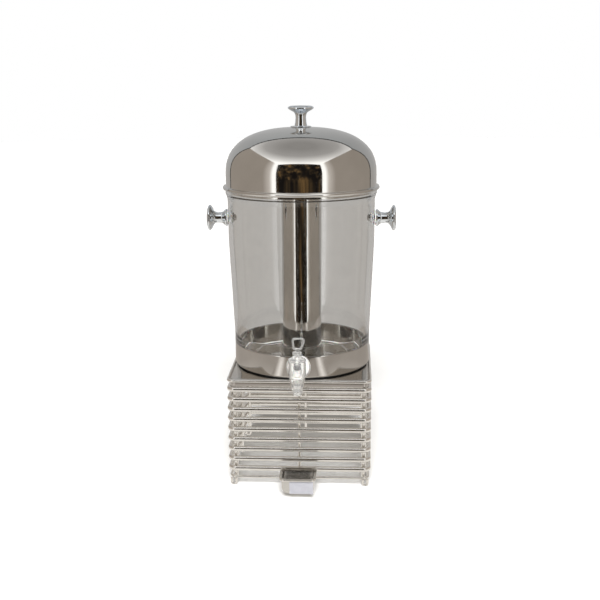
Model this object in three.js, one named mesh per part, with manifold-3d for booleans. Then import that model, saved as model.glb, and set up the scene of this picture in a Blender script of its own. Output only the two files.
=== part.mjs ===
// Beverage dispenser with an ice tube: a clear tapering tank on a steel base pan, a domed lid,
// two side knobs and a clear tap, standing on a square wire cage with a small drip tray.
// Millimetres, +Z up, the tap to the front (-Y). The origin is under the middle of the whole
// object, on the surface that it stands on.

import * as THREE from "three";
import { mergeVertices } from "three/addons/utils/BufferGeometryUtils.js";
import Module from "manifold-3d";

const wasm = await Module();
wasm.setup();

// ---------------------------------------------------------------- driving dimensions

// Room between neighbours
const touchGap = 0.3; // pieces that rest on each other or are welded
const roundGap = 0.6; // a flat face against a round wall
const liftFit = 1.2; // all round a part that lifts out
const pinFit = 0.25; // radial, a pin or a stem in its hole

// Cage stand
const standWidth = 214;
const standHeight = 166;
const hoopRod = 8;
const hoopCount = 9;
const lowestHoopHeight = 26.6;
const hoopCornerRadius = 9;
const topRailRod = 4.5;
const bottomRailRod = 4;
const cornerPostRod = 5.5;
const middleRodDiameter = 4;
const plateSheet = 1.6;
const plateSkirt = 11;
const skirtToHoop = 0.8;
const footHeight = 10.6;
const footWidth = 10.5;
const footWire = 3.6;

// Drip tray and its cradle
const trayWidth = 47;
const trayDepth = 40;
const trayTop = 33;
const trayHeight = 24;
const traySheet = 1;
const trayCorner = 8;
const trayUprightCorner = 5;
const trayRim = 3.5;
const cradleWire = 3;
const trayToStand = 8;
const grilleDrop = 5;
const grilleSlots = 6;
const grilleSlotWidth = 2.2;
const grilleFlangeWidth = 26;

// Base pan and tank
const panRadius = 104;
const panHeight = 33.3;
const panSheet = 1.4;
const padThickness = 1.4;
const padWidth = 9;
const padInset = 2.5;
const sealThickness = 2;
const tankHeight = 263.2;
const tankWall = 3;
const tankTopRadius = 111;
const tankLip = 3;
const lipHeight = 14;

// Ice tube and its socket
const iceTubeRadius = 30;
const iceTubeHeight = 270;
const iceTubeSheet = 1;
const iceTubeBead = 1.6;
const socketHeight = 20;
const socketWall = 2.6;

// Lid
const lidSheet = 1.2;
const lidWallRadius = 113.2;
const lidBead = 4.8;
const lidBeadHeight = 3.1;
const lidWallHeight = 20.8;
const domeRise = 70;
const domeFlatness = 2.5; // exponent of the dome's curve, 2 is an ellipse
const lidStep = 4;

// Knobs: the lid's and the two on the sides
const knobDiscRadius = 19.2;
const knobDiscThickness = 7;
const knobNeckRadius = 8.7;
const lidKnobHeight = 29.9;
const lidWasherRadius = 15.5;
const sideKnobDrop = 44.2; // below the tank's rim
const sideKnobReach = 30;
const sideKnobRoot = 13;
const knobScrewRadius = 2.4;
const knobHoleDepth = 15;
const washerThickness = 1.2;
const gasketThickness = 1.5;

// Tap
const tapAxisHeight = 19; // above the base pan's underside
const tapReach = 36; // from the pan to the barrel's axis
const barrelRadius = 12.75;
const barrelWall = 2.2;
const barrelTopRise = 19; // above the tap's axis
const barrelHeight = 28;
const barrelTaper = 8; // the foot of the barrel that already narrows towards the spout
const spoutHeight = 23;
const spoutRadius = 6.2;
const spoutBore = 4.4;
const shankRadius = 7.5;
const shankBore = 4.2;
const flangeRadius = 18;
const flangeThickness = 3.5;
const tapNutWidth = 24;
const tapNutThickness = 8;
const bonnetNeckRadius = 6.6;
const bonnetHeight = 13;
const leverHub = 3;
const leverThickness = 3;
const leverLoopHeight = 18;
const leverTopWidth = 21;
const leverFootWidth = 13;
const leverStrand = 2.8;
const leverLean = 2.5;
const stemRadius = 2;
const stemTravel = 3;
const stemSealRadius = 5.2;
const stemSealHeight = 8;
const bellowsRibs = 4;

// Facets round a circle
const wideFacets = 36;
const midFacets = 20;
const smallFacets = 16;
const rodFacets = 8;

// ---------------------------------------------------------------- places that follow

const hoopHalf = (standWidth - hoopRod) / 2;
const topHoopHeight = standHeight - plateSkirt - skirtToHoop - hoopRod / 2;
const hoopPitch = (topHoopHeight - lowestHoopHeight) / (hoopCount - 1);
const bottomRailHeight = footHeight + touchGap + bottomRailRod / 2;
const plateHalf = standWidth / 2 - topRailRod - touchGap;

const padBottom = standHeight + touchGap;
const panBottom = padBottom + padThickness + touchGap;
const panFloor = panBottom + panSheet;
const panTop = panBottom + panHeight;
const shellBottom = panFloor + sealThickness + 2 * touchGap;
const shellTop = shellBottom + tankHeight;
const shellFootRadius = panRadius - panSheet - touchGap;

const iceTubeBottom = panFloor + touchGap;
const iceTubeTop = iceTubeBottom + iceTubeHeight;
const socketInner = iceTubeRadius + liftFit;

const lidBottom = shellTop + touchGap;
const lidWallTop = lidBottom + lidWallHeight;
const lidCrown = lidWallTop + domeRise;
const lidStepRadius = tankTopRadius - tankWall + tankLip / 2 - liftFit;
const lidKnobBottom = lidCrown + washerThickness + 2 * touchGap;

const sideKnobZ = shellTop - sideKnobDrop;

const tapZ = panBottom + tapAxisHeight;
const tapY = -(panRadius + tapReach);
const barrelTop = tapZ + barrelTopRise;
const barrelBottom = barrelTop - barrelHeight;
const spoutBottom = barrelBottom - spoutHeight;
const flangeBack = -(panRadius + 2 * touchGap + gasketThickness);
const shellInnerAtTap = shellFootRadius - tankWall;
const tapGasketRadius = tapNutWidth / 2;
const innerGasketFront = -(Math.sqrt(shellInnerAtTap ** 2 - tapGasketRadius ** 2) - roundGap);
const nutFront = innerGasketFront + gasketThickness + touchGap;
const shankEnd = nutFront + tapNutThickness + 2;
const bonnetBottom = barrelTop + touchGap;
const bonnetFlange = 2.5;
const bonnetTop = bonnetBottom + bonnetHeight;
const leverPivotZ = bonnetTop - leverHub + 0.4;
const leverLoopBottom = leverPivotZ + 5.2;
const stemTop = leverPivotZ - leverHub - stemTravel - 2 * touchGap;
const barrelFloor = barrelBottom + barrelWall;
const bellowsTop = barrelTop - stemTravel - stemSealHeight - 2 * touchGap - 1.5;

const trayFront = -(standWidth / 2 + trayToStand + trayDepth);
const trayBack = -(standWidth / 2 + trayToStand);
const trayBottom = trayTop - trayHeight;
const cradleZ = trayTop - traySheet - touchGap - cradleWire / 2;
const grilleTop = trayTop - grilleDrop;

// ---------------------------------------------------------------- materials

function finish(color, roughness, metalness, opacity = 1) {
  return new THREE.MeshStandardMaterial({
    color,
    roughness,
    metalness,
    opacity,
    transparent: opacity < 1,
  });
}
const polishedSteel = finish(0xcfcac2, 0.12, 1);
const wireChrome = finish(0xd8d3cc, 0.2, 1);
const knobChrome = finish(0xe2e0dd, 0.08, 1);
const fastenerSteel = finish(0xb4b1ac, 0.35, 1);
const clearTank = finish(0xe4e9e2, 0.05, 0, 0.25);
const clearTap = finish(0xeef1ea, 0.08, 0, 0.35);
const blackRubber = finish(0x1b1a19, 0.8, 0);
const whiteSilicone = finish(0xe8e6df, 0.6, 0);
const whitePlastic = finish(0xdedbd2, 0.45, 0);

// ---------------------------------------------------------------- shape helpers

// A solid for cutting and joining, from any closed three.js geometry.
function solid(geometry) {
  const bare = new THREE.BufferGeometry();
  const loose = geometry.index ? geometry.toNonIndexed() : geometry;
  bare.setAttribute("position", loose.getAttribute("position").clone());
  const merged = mergeVertices(bare, 1e-4);
  return new wasm.Manifold(
    new wasm.Mesh({
      numProp: 3,
      vertProperties: merged.attributes.position.array,
      triVerts: new Uint32Array(merged.index.array),
    }),
  );
}

function geometryOf(body) {
  const { vertProperties, triVerts } = body.getMesh();
  const geometry = new THREE.BufferGeometry();
  geometry.setAttribute("position", new THREE.Float32BufferAttribute(vertProperties, 3));
  geometry.setIndex(Array.from(triVerts));
  return geometry;
}

// A profile of [radius, height] turned about +Z. It starts and ends on the axis, or closes.
function turned(profile, facets) {
  const points = profile.map(([r, z]) => new THREE.Vector2(r, z));
  return new THREE.LatheGeometry(points, facets).rotateX(Math.PI / 2);
}

function turnedRing(profile, facets) {
  return turned([...profile, profile[0]], facets);
}

function disc(radius, bottom, top, facets) {
  return turned([[0, bottom], [radius, bottom], [radius, top], [0, top]], facets);
}

function washer(inner, outer, bottom, top, facets) {
  return turnedRing([[inner, bottom], [outer, bottom], [outer, top], [inner, top]], facets);
}

// A turned piece laid along X or Y: its own +Z points along that axis, from the given place.
function alongX(geometry, x, y, z, side = 1) {
  return geometry.rotateY((side * Math.PI) / 2).translate(x, y, z);
}

function alongY(geometry, x, y, z) {
  return geometry.rotateX(-Math.PI / 2).translate(x, y, z);
}

function block(x0, x1, y0, y1, z0, z1) {
  const size = new THREE.BoxGeometry(x1 - x0, y1 - y0, z1 - z0);
  return size.translate((x0 + x1) / 2, (y0 + y1) / 2, (z0 + z1) / 2);
}

// A plate with round corners, lying on its bottom height.
function roundedPlate(halfX, halfY, radius, bottom, top) {
  const outline = new THREE.Shape();
  const x = halfX - radius;
  const y = halfY - radius;
  outline.absarc(x, y, radius, 0, Math.PI / 2);
  outline.absarc(-x, y, radius, Math.PI / 2, Math.PI);
  outline.absarc(-x, -y, radius, Math.PI, Math.PI * 1.5);
  outline.absarc(x, -y, radius, Math.PI * 1.5, Math.PI * 2);
  const options = { depth: top - bottom, bevelEnabled: false, curveSegments: 4 };
  return new THREE.ExtrudeGeometry(outline, options).translate(0, 0, bottom);
}

// A round rod bent into a square hoop: a torus whose four quarters are drawn apart.
function squareHoop(half, cornerRadius, rodRadius, height) {
  const arcSteps = 2;
  const rings = 4 * (arcSteps + 1);
  const torus = new THREE.TorusGeometry(cornerRadius, rodRadius, rodFacets, rings);
  const place = torus.getAttribute("position");
  const shift = half - cornerRadius;
  for (let section = 0; section <= rodFacets; section++) {
    for (let ring = 0; ring <= rings; ring++) {
      const turn = ring % rings;
      const quarter = Math.floor(turn / (arcSteps + 1));
      const step = (turn % (arcSteps + 1)) / arcSteps;
      const angle = ((quarter + step) * Math.PI) / 2;
      const around = (section / rodFacets) * 2 * Math.PI;
      const reach = cornerRadius + rodRadius * Math.cos(around);
      const sideX = quarter === 0 || quarter === 3 ? 1 : -1;
      const sideY = quarter < 2 ? 1 : -1;
      place.setXYZ(
        section * (rings + 1) + ring,
        reach * Math.cos(angle) + sideX * shift,
        reach * Math.sin(angle) + sideY * shift,
        rodRadius * Math.sin(around) + height,
      );
    }
  }
  return torus;
}

// A path of straight runs that puts one ring of the swept rod at each of its points.
class RunPath extends THREE.Curve {
  constructor(points) {
    super();
    this.points = points;
  }

  getPoint(t) {
    const place = t * (this.points.length - 1);
    const run = Math.min(Math.max(Math.floor(place), 0), this.points.length - 2);
    return new THREE.Vector3().lerpVectors(this.points[run], this.points[run + 1], place - run);
  }

  getPointAt(u) {
    return this.getPoint(u);
  }

  getTangentAt(u) {
    return this.getTangent(u);
  }
}

function bentWire(points, radius) {
  const section = new THREE.Shape();
  section.absarc(0, 0, radius, 0, Math.PI * 2);
  return new THREE.ExtrudeGeometry(section, {
    extrudePath: new RunPath(points),
    steps: points.length - 1,
    curveSegments: rodFacets,
  });
}

// ---------------------------------------------------------------- the model

const dispenser = new THREE.Group();
const assembly = new THREE.Group();
dispenser.add(assembly);

function add(name, geometry, material) {
  const mesh = new THREE.Mesh(geometry, material);
  mesh.name = name;
  assembly.add(mesh);
}

function addHoops() {
  for (let i = 0; i < hoopCount; i++) {
    const height = topHoopHeight - i * hoopPitch;
    add(`hoop_${i + 1}`, squareHoop(hoopHalf, hoopCornerRadius, hoopRod / 2, height), wireChrome);
  }
  const topHalf = (standWidth - topRailRod) / 2;
  const topHeight = standHeight - topRailRod / 2;
  add("top_rail", squareHoop(topHalf, hoopCornerRadius, topRailRod / 2, topHeight), wireChrome);
  const bottom = squareHoop(hoopHalf, hoopCornerRadius, bottomRailRod / 2, bottomRailHeight);
  add("bottom_rail", bottom, wireChrome);
}

// The corner posts stand in the hoops' corners, and the thin rods against the sides' middles.
function addPosts() {
  const bottom = bottomRailHeight - bottomRailRod / 2;
  const top = standHeight - plateSheet - touchGap;
  const arcRoom = hoopCornerRadius - hoopRod / 2 - cornerPostRod / 2 - touchGap;
  const corner = hoopHalf - hoopCornerRadius + arcRoom / Math.SQRT2;
  const sides = { front: [0, -1], right: [1, 0], back: [0, 1], left: [-1, 0] };
  const corners = { front_left: [-1, -1], front_right: [1, -1], back_right: [1, 1], back_left: [-1, 1] };
  for (const [name, [x, y]] of Object.entries(corners)) {
    const post = disc(cornerPostRod / 2, bottom, top, rodFacets);
    add(`corner_post_${name}`, post.translate(x * corner, y * corner, 0), wireChrome);
  }
  const reach = hoopHalf - hoopRod / 2 - middleRodDiameter / 2 - touchGap;
  for (const [name, [x, y]] of Object.entries(sides)) {
    const rod = disc(middleRodDiameter / 2, bottom, top, rodFacets);
    add(`middle_rod_${name}`, rod.translate(x * reach, y * reach, 0), wireChrome);
  }
}

// A folded plate: a flat top with a skirt all round, open below.
function addTopPlate() {
  const radius = hoopCornerRadius - 1;
  const base = standHeight - plateSkirt;
  const innerHalf = plateHalf - plateSheet;
  const innerRadius = radius - plateSheet;
  const outer = roundedPlate(plateHalf, plateHalf, radius, base, standHeight);
  const inner = roundedPlate(innerHalf, innerHalf, innerRadius, base - 1, standHeight - plateSheet);
  add("top_plate", geometryOf(solid(outer).subtract(solid(inner))), polishedSteel);
}

// Each foot is a wire bent into a U, hanging from the bottom rail at a corner.
function addFeet() {
  const outerRadius = footWidth / 2;
  const innerRadius = outerRadius - footWire;
  const outline = new THREE.Shape();
  outline.moveTo(-outerRadius, footHeight);
  outline.lineTo(-outerRadius, outerRadius);
  outline.absarc(0, outerRadius, outerRadius, Math.PI, Math.PI * 1.4);
  outline.lineTo(outerRadius * Math.cos(Math.PI * 1.4), 0);
  outline.lineTo(outerRadius * Math.cos(Math.PI * 1.6), 0);
  outline.absarc(0, outerRadius, outerRadius, Math.PI * 1.6, Math.PI * 2);
  outline.lineTo(outerRadius, footHeight);
  outline.lineTo(innerRadius, footHeight);
  outline.lineTo(innerRadius, outerRadius);
  outline.absarc(0, outerRadius, innerRadius, 0, -Math.PI, true);
  outline.lineTo(-innerRadius, footHeight);
  const options = { depth: footWire, bevelEnabled: false, curveSegments: 5 };
  const across = hoopHalf - hoopCornerRadius / 2;
  const along = hoopHalf;
  const corners = { front_left: [-1, -1], front_right: [1, -1], back_right: [1, 1], back_left: [-1, 1] };
  for (const [name, [x, y]] of Object.entries(corners)) {
    const foot = new THREE.ExtrudeGeometry(outline, options).rotateX(Math.PI / 2);
    add(`foot_${name}`, foot.translate(x * across, y * along + footWire / 2, 0), wireChrome);
  }
}

function addTrayCradle() {
  const side = trayWidth / 2 + touchGap + cradleWire / 2;
  const front = trayFront - touchGap - cradleWire / 2;
  const bend = trayUprightCorner + touchGap + cradleWire / 2;
  const bendSteps = 4;
  const points = [new THREE.Vector3(-side, -standWidth / 2 - touchGap, cradleZ)];
  for (const [centre, from] of [[-side + bend, Math.PI], [side - bend, Math.PI * 1.5]]) {
    for (let i = 0; i <= bendSteps; i++) {
      const angle = from + ((i / bendSteps) * Math.PI) / 2;
      points.push(
        new THREE.Vector3(centre + bend * Math.cos(angle), front + bend + bend * Math.sin(angle), cradleZ),
      );
    }
  }
  points.push(new THREE.Vector3(side, -standWidth / 2 - touchGap, cradleZ));
  add("tray_cradle", bentWire(points, cradleWire / 2), wireChrome);
}

// The tray's inside or outside, moved in by an inset: round upright corners, and round bottom
// corners as seen from the front.
function trayBody(inset, top) {
  const half = trayWidth / 2 - inset;
  const halfDepth = trayDepth / 2 - inset;
  const bottom = trayBottom + inset;
  const corner = trayCorner - inset;
  const outline = new THREE.Shape();
  outline.moveTo(-half, top);
  outline.lineTo(-half, bottom + corner);
  outline.absarc(-half + corner, bottom + corner, corner, Math.PI, Math.PI * 1.5);
  outline.absarc(half - corner, bottom + corner, corner, Math.PI * 1.5, Math.PI * 2);
  outline.lineTo(half, top);
  const options = { depth: 2 * halfDepth, bevelEnabled: false, curveSegments: 4 };
  const section = new THREE.ExtrudeGeometry(outline, options).rotateX(Math.PI / 2);
  const plan = roundedPlate(half, halfDepth, trayUprightCorner - inset, bottom - 1, top + 1);
  return solid(section.translate(0, halfDepth, 0)).intersect(solid(plan));
}

function addDripTray() {
  const rimHalf = trayWidth / 2 + trayRim;
  const rimHalfDepth = trayDepth / 2 + trayRim;
  const rimCorner = trayUprightCorner + trayRim;
  const rim = roundedPlate(rimHalf, rimHalfDepth, rimCorner, trayTop - traySheet, trayTop);
  const tray = trayBody(0, trayTop).add(solid(rim)).subtract(trayBody(traySheet, trayTop + 1));
  add("drip_tray", geometryOf(tray).translate(0, (trayFront + trayBack) / 2, 0), polishedSteel);
}

// The grille lies in the tray on two folded flanges, and has a row of slots across it.
function addDripGrille() {
  const half = trayWidth / 2 - traySheet - liftFit;
  const front = trayFront + traySheet + liftFit;
  const back = trayBack - traySheet - liftFit;
  const flangeHalf = grilleFlangeWidth / 2;
  const floor = trayBottom + traySheet + touchGap;
  let grille = solid(block(-half, half, front, back, grilleTop - traySheet, grilleTop));
  for (const y of [front, back - traySheet]) {
    grille = grille.add(solid(block(-flangeHalf, flangeHalf, y, y + traySheet, floor, grilleTop)));
  }
  const pitch = (back - front) / (grilleSlots + 1);
  for (let i = 1; i <= grilleSlots; i++) {
    const y = front + i * pitch;
    const slot = block(
      -half + 4,
      half - 4,
      y - grilleSlotWidth / 2,
      y + grilleSlotWidth / 2,
      grilleTop - 2 * traySheet,
      grilleTop + traySheet,
    );
    grille = grille.subtract(solid(slot));
  }
  add("drip_grille", geometryOf(grille), fastenerSteel);
}

// The base pan, its rubber pad and the seal that the shell stands on.
function addBase() {
  const padOuter = panRadius - padInset;
  const pad = washer(padOuter - padWidth, padOuter, padBottom, padBottom + padThickness, wideFacets);
  add("base_pad", pad, blackRubber);
  const pan = solid(
    turned(
      [
        [0, panBottom],
        [panRadius, panBottom],
        [panRadius, panTop],
        [panRadius - panSheet, panTop],
        [panRadius - panSheet, panFloor],
        [0, panFloor],
      ],
      wideFacets,
    ),
  );
  add("base_pan", geometryOf(pan.subtract(tapHole())), polishedSteel);
  const sealBottom = panFloor + touchGap;
  const seal = washer(
    shellFootRadius - tankWall,
    shellFootRadius,
    sealBottom,
    sealBottom + sealThickness,
    wideFacets,
  );
  add("tank_seal", seal, whiteSilicone);
}

function tapHole() {
  const length = 2 * panRadius;
  const hole = disc(shankRadius + pinFit, 0, length, smallFacets);
  return solid(alongY(hole, 0, -length, tapZ));
}

// The tank's outside: its foot inside the pan, a long cone, a nearly straight top, and the lip.
function tankOutline() {
  const cone = (shellTop - panTop) * 0.66;
  const lipFoot = shellTop - lipHeight;
  return [
    [shellFootRadius, shellBottom],
    [shellFootRadius, panTop + touchGap],
    [panRadius, panTop + touchGap],
    [panRadius, panTop + lipHeight],
    [tankTopRadius - 0.5, panTop + cone],
    [tankTopRadius, lipFoot],
    [tankTopRadius + tankLip * 0.5, lipFoot + lipHeight * 0.35],
    [tankTopRadius + tankLip, lipFoot + lipHeight * 0.65],
    [tankTopRadius + tankLip, shellTop - 1],
    [tankTopRadius + tankLip - 1, shellTop],
  ];
}

function tankInside() {
  const cone = (shellTop - panTop) * 0.66;
  const lipFoot = shellTop - lipHeight;
  const foot = shellFootRadius - tankWall;
  return [
    [tankTopRadius + tankLip / 2 - tankWall, shellTop],
    [tankTopRadius + tankLip / 2 - tankWall, lipFoot + lipHeight * 0.5],
    [tankTopRadius - tankWall, lipFoot],
    [tankTopRadius - 0.5 - tankWall, panTop + cone],
    [panRadius - tankWall, panTop + lipHeight],
    [foot, panTop + touchGap],
    [foot, shellBottom],
  ];
}

function addTank() {
  const shell = solid(turnedRing([...tankOutline(), ...tankInside()], wideFacets));
  const length = 4 * tankTopRadius;
  const boltHoles = alongX(
    disc(knobScrewRadius + pinFit, 0, length, smallFacets),
    -length / 2,
    0,
    sideKnobZ,
  );
  const drilled = shell.subtract(solid(boltHoles)).subtract(tapHole());
  add("tank_shell", geometryOf(drilled), clearTank);
}

function addIceTube() {
  const socketOuter = socketInner + socketWall;
  const socket = washer(
    socketInner,
    socketOuter,
    panFloor + touchGap,
    panFloor + touchGap + socketHeight,
    midFacets,
  );
  add("ice_tube_socket", socket, clearTank);
  const inner = iceTubeRadius - iceTubeSheet;
  const tube = turned(
    [
      [0, iceTubeBottom],
      [iceTubeRadius, iceTubeBottom],
      [iceTubeRadius, iceTubeTop - 2 * iceTubeBead],
      [iceTubeRadius + iceTubeBead, iceTubeTop - 1.5 * iceTubeBead],
      [iceTubeRadius + iceTubeBead, iceTubeTop - 0.5 * iceTubeBead],
      [iceTubeRadius, iceTubeTop],
      [inner, iceTubeTop],
      [inner, iceTubeBottom + iceTubeSheet],
      [0, iceTubeBottom + iceTubeSheet],
    ],
    midFacets,
  );
  add("ice_tube", tube, polishedSteel);
}

function domePoint(radius, rise, angle) {
  const power = 2 / domeFlatness;
  return [radius * Math.cos(angle) ** power, lidWallTop + rise * Math.sin(angle) ** power];
}

// The lid: a step that drops into the tank, a rolled bead, a straight wall and the dome.
function addLid() {
  const outerSteps = 7;
  const innerSteps = 6;
  const hole = knobScrewRadius + pinFit;
  const beadZ = lidBottom + lidBeadHeight;
  const beadRadius = lidWallRadius + lidBead;
  const profile = [
    [lidStepRadius - lidSheet, lidBottom - lidStep],
    [lidStepRadius, lidBottom - lidStep],
    [lidStepRadius, lidBottom],
    [lidWallRadius, lidBottom],
    [lidWallRadius, beadZ - 2.8],
    [beadRadius - 1.5, beadZ - 2.4],
    [beadRadius, beadZ - 0.9],
    [beadRadius, beadZ + 0.9],
    [beadRadius - 1.5, beadZ + 2.4],
    [lidWallRadius, beadZ + 2.8],
  ];
  for (let i = 0; i < outerSteps; i++) {
    profile.push(domePoint(lidWallRadius, domeRise, (i / outerSteps) * (Math.PI / 2)));
  }
  profile.push([hole, lidCrown]);
  profile.push([hole, lidCrown - lidSheet]);
  for (let i = innerSteps - 1; i >= 0; i--) {
    const angle = (i / innerSteps) * (Math.PI / 2);
    profile.push(domePoint(lidWallRadius - lidSheet, domeRise - lidSheet, angle));
  }
  profile.push([lidWallRadius - lidSheet, lidBottom + lidSheet]);
  profile.push([lidStepRadius - lidSheet, lidBottom + lidSheet]);
  add("lid_shell", turnedRing(profile, wideFacets), polishedSteel);
}

// A spool-shaped knob standing on z = 0, with a blind hole for its screw in the foot.
function knob(height, rootRadius, rootHeight) {
  const discBottom = height - knobDiscThickness;
  return turned(
    [
      [0, knobHoleDepth],
      [knobScrewRadius + pinFit, knobHoleDepth],
      [knobScrewRadius + pinFit, 0],
      [rootRadius, 0],
      [rootRadius, rootHeight * 0.4],
      [knobNeckRadius, rootHeight],
      [knobNeckRadius - 1, (rootHeight + discBottom) / 2],
      [knobNeckRadius + 1, discBottom - 3],
      [knobDiscRadius - 1.5, discBottom],
      [knobDiscRadius, discBottom + 2],
      [knobDiscRadius, height - 2],
      [knobDiscRadius - 2, height - 0.6],
      [0, height],
    ],
    midFacets,
  );
}

// A pan-head screw pointing up from z = 0, its head below that.
function knobScrew(headRadius, headHeight, length) {
  return turned(
    [
      [0, -headHeight],
      [headRadius * 0.7, -headHeight],
      [headRadius, -headHeight * 0.5],
      [headRadius, 0],
      [knobScrewRadius, 0],
      [knobScrewRadius, length],
      [0, length],
    ],
    smallFacets,
  );
}

function addLidKnob() {
  const hole = knobScrewRadius + pinFit;
  const topWasher = washer(hole, lidWasherRadius, 0, washerThickness, midFacets);
  add("lid_knob_washer", topWasher.translate(0, 0, lidCrown + touchGap), knobChrome);
  const grip = knob(lidKnobHeight, knobNeckRadius + 0.5, 4);
  add("lid_knob", grip.translate(0, 0, lidKnobBottom), knobChrome);
  const innerRadius = 9;
  const innerTop = lidCrown - lidSheet - roundGap;
  const innerWasher = washer(hole, innerRadius, innerTop - washerThickness, innerTop, smallFacets);
  add("lid_inner_washer", innerWasher, fastenerSteel);
  const headTop = innerTop - washerThickness - touchGap;
  const length = lidKnobBottom + knobHoleDepth - 1 - headTop;
  const screw = knobScrew(4.6, 3.2, length);
  add("lid_knob_screw", screw.translate(0, 0, headTop), fastenerSteel);
}

// The side knobs: each is held by a bolt from inside the tank, with a gasket on both faces.
function addSideKnobs() {
  const wallOutside = tankTopRadius;
  const gasketRadius = 8;
  const hole = knobScrewRadius + pinFit;
  const innerFace = Math.sqrt((tankTopRadius - 0.5 - tankWall) ** 2 - gasketRadius ** 2) - roundGap;
  const outerFace = wallOutside + touchGap;
  const knobFace = outerFace + gasketThickness + touchGap;
  const washerFace = innerFace - gasketThickness - touchGap;
  const headFace = washerFace - washerThickness - touchGap;
  const boltLength = knobFace + knobHoleDepth - 1 - headFace;
  for (const [name, side] of [["left", -1], ["right", 1]]) {
    const put = (geometry, x) => alongX(geometry, side * x, 0, sideKnobZ, side);
    const outer = washer(hole, sideKnobRoot - 2, 0, gasketThickness, smallFacets);
    add(`side_knob_outer_gasket_${name}`, put(outer, outerFace), whiteSilicone);
    add(`side_knob_${name}`, put(knob(sideKnobReach, sideKnobRoot, 6), knobFace), knobChrome);
    const inner = washer(hole, gasketRadius, 0, gasketThickness, smallFacets);
    add(`side_knob_inner_gasket_${name}`, put(inner, innerFace - gasketThickness), whiteSilicone);
    const flat = washer(hole, gasketRadius - 1, 0, washerThickness, smallFacets);
    add(`side_knob_washer_${name}`, put(flat, washerFace - washerThickness), fastenerSteel);
    add(`side_knob_bolt_${name}`, put(knobScrew(5, 3.4, boltLength), headFace), fastenerSteel);
  }
}

// The tap's body: barrel, spout, shank and flange in one clear moulding, bored right through.
function addTapBody() {
  const barrelShape = turned(
    [
      [0, spoutBottom],
      [spoutRadius, spoutBottom],
      [barrelRadius, barrelBottom + barrelTaper],
      [barrelRadius, barrelTop],
      [0, barrelTop],
    ],
    midFacets,
  );
  const cavity = turned(
    [
      [0, spoutBottom - 1],
      [spoutBore, spoutBottom - 1],
      [spoutBore, barrelFloor - 1.5],
      [spoutBore + 1.5, barrelFloor],
      [barrelRadius - barrelWall - 2, barrelFloor],
      [barrelRadius - barrelWall, barrelFloor + barrelTaper],
      [barrelRadius - barrelWall, barrelTop + 1],
      [0, barrelTop + 1],
    ],
    midFacets,
  );
  const shankLength = shankEnd - tapY;
  const shank = alongY(disc(shankRadius, 0, shankLength, smallFacets), 0, tapY, tapZ);
  const bore = alongY(
    disc(shankBore, 0, shankLength + 1, smallFacets),
    0,
    tapY,
    tapZ,
  );
  const flange = alongY(
    disc(flangeRadius, 0, flangeThickness, midFacets),
    0,
    flangeBack - flangeThickness,
    tapZ,
  );
  const body = solid(barrelShape.translate(0, tapY, 0))
    .add(solid(shank))
    .add(solid(flange))
    .subtract(solid(cavity.translate(0, tapY, 0)))
    .subtract(solid(bore));
  add("tap_body", geometryOf(body), clearTap);
}

function addTapFasteners() {
  const hole = shankRadius + pinFit;
  const outer = washer(hole, flangeRadius - 2, 0, gasketThickness, midFacets);
  add("tap_outer_gasket", alongY(outer, 0, flangeBack + touchGap, tapZ), whiteSilicone);
  const inner = washer(hole, tapGasketRadius, 0, gasketThickness, smallFacets);
  add("tap_inner_gasket", alongY(inner, 0, innerGasketFront, tapZ), whiteSilicone);
  const hexRadius = tapNutWidth / 2 / Math.cos(Math.PI / 6);
  const hex = disc(hexRadius, 0, tapNutThickness, 6);
  const nut = solid(hex).subtract(solid(disc(hole, -1, tapNutThickness + 1, smallFacets)));
  add("tap_nut", alongY(geometryOf(nut), 0, nutFront, tapZ), whitePlastic);
}

// The bonnet closes the barrel. Its neck is slotted for the lever and drilled for the stem.
function addTapBonnet() {
  const plugRadius = barrelRadius - barrelWall - pinFit;
  const cap = turned(
    [
      [0, barrelTop - 1.2],
      [plugRadius, barrelTop - 1.2],
      [plugRadius, bonnetBottom],
      [barrelRadius, bonnetBottom],
      [barrelRadius, bonnetBottom + bonnetFlange - 0.8],
      [barrelRadius - 0.8, bonnetBottom + bonnetFlange],
      [bonnetNeckRadius, bonnetBottom + bonnetFlange + 1],
      [bonnetNeckRadius, bonnetTop],
      [0, bonnetTop],
    ],
    midFacets,
  );
  const slotHalf = leverHub / 2 + 0.5 + pinFit;
  const slotBottom = leverPivotZ - leverHub - 1;
  const slot = block(-slotHalf, slotHalf, -barrelRadius, barrelRadius, slotBottom, bonnetTop + 1);
  const stemHole = disc(stemRadius + pinFit, barrelTop - 3, slotBottom + 1, smallFacets);
  const pinHole = alongX(
    disc(1 + pinFit, 0, 4 * bonnetNeckRadius, rodFacets),
    -2 * bonnetNeckRadius,
    0,
    leverPivotZ,
  );
  const bonnet = solid(cap).subtract(solid(slot)).subtract(solid(stemHole)).subtract(solid(pinHole));
  add("tap_bonnet", geometryOf(bonnet).translate(0, tapY, 0), clearTap);
  const pinLength = 2 * bonnetNeckRadius - 2;
  const pin = alongX(disc(1, 0, pinLength, rodFacets), -pinLength / 2, tapY, leverPivotZ);
  add("lever_pin", pin, fastenerSteel);
}

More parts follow.
